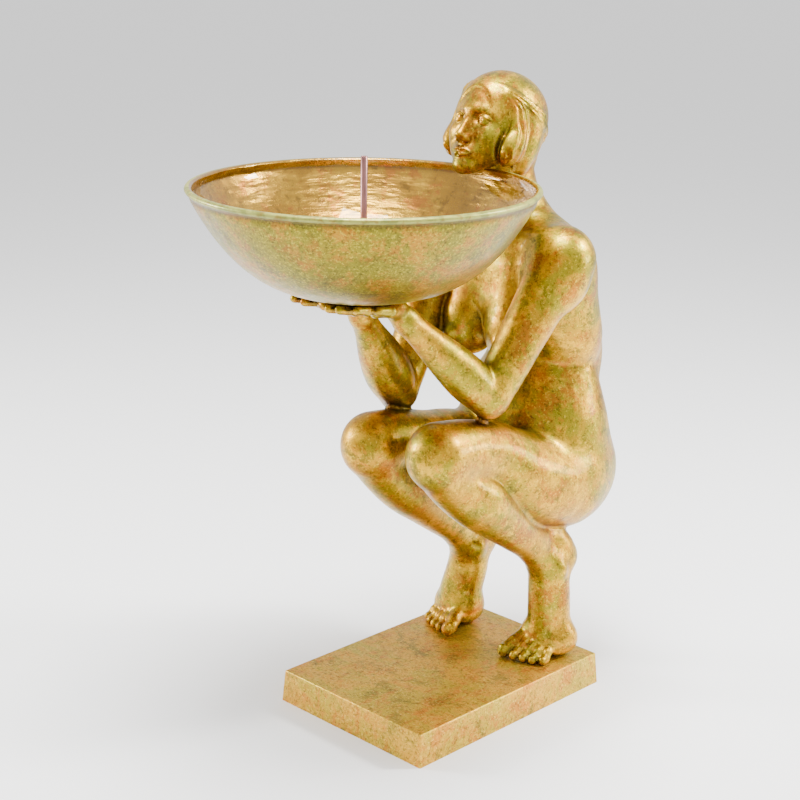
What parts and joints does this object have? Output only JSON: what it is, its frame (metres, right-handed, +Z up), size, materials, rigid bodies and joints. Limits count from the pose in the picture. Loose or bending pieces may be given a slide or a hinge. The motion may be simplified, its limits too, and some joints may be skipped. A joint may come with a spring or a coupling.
{
  "type": "squatting woman birdbath statue",
  "caption": "Cast bronze statue of a nude woman squatting on tiptoe on a slab and holding up a wide shallow bowl with an upright fountain pipe, as a birdbath.",
  "frame": {"origin": "centre of the plinth's underside", "axes": "+Z up, the figure faces -Y, +X is the figure's left"},
  "size_m": [0.6192, 0.9221, 1.2167],
  "materials": {
    "plinth": "ochre and salmon patinated bronze, satin",
    "figure": "waxed mottled golden-olive bronze, semi-gloss",
    "bowl": "golden-green patinated bronze, glossy inside",
    "fountain_pipe": "polished copper tube"
  },
  "bodies": {
    "root": {"plinth": "plinth", "figure": "figure", "bowl": "bowl", "fountain_pipe": "fountain_pipe"}
  },
  "joints": []
}
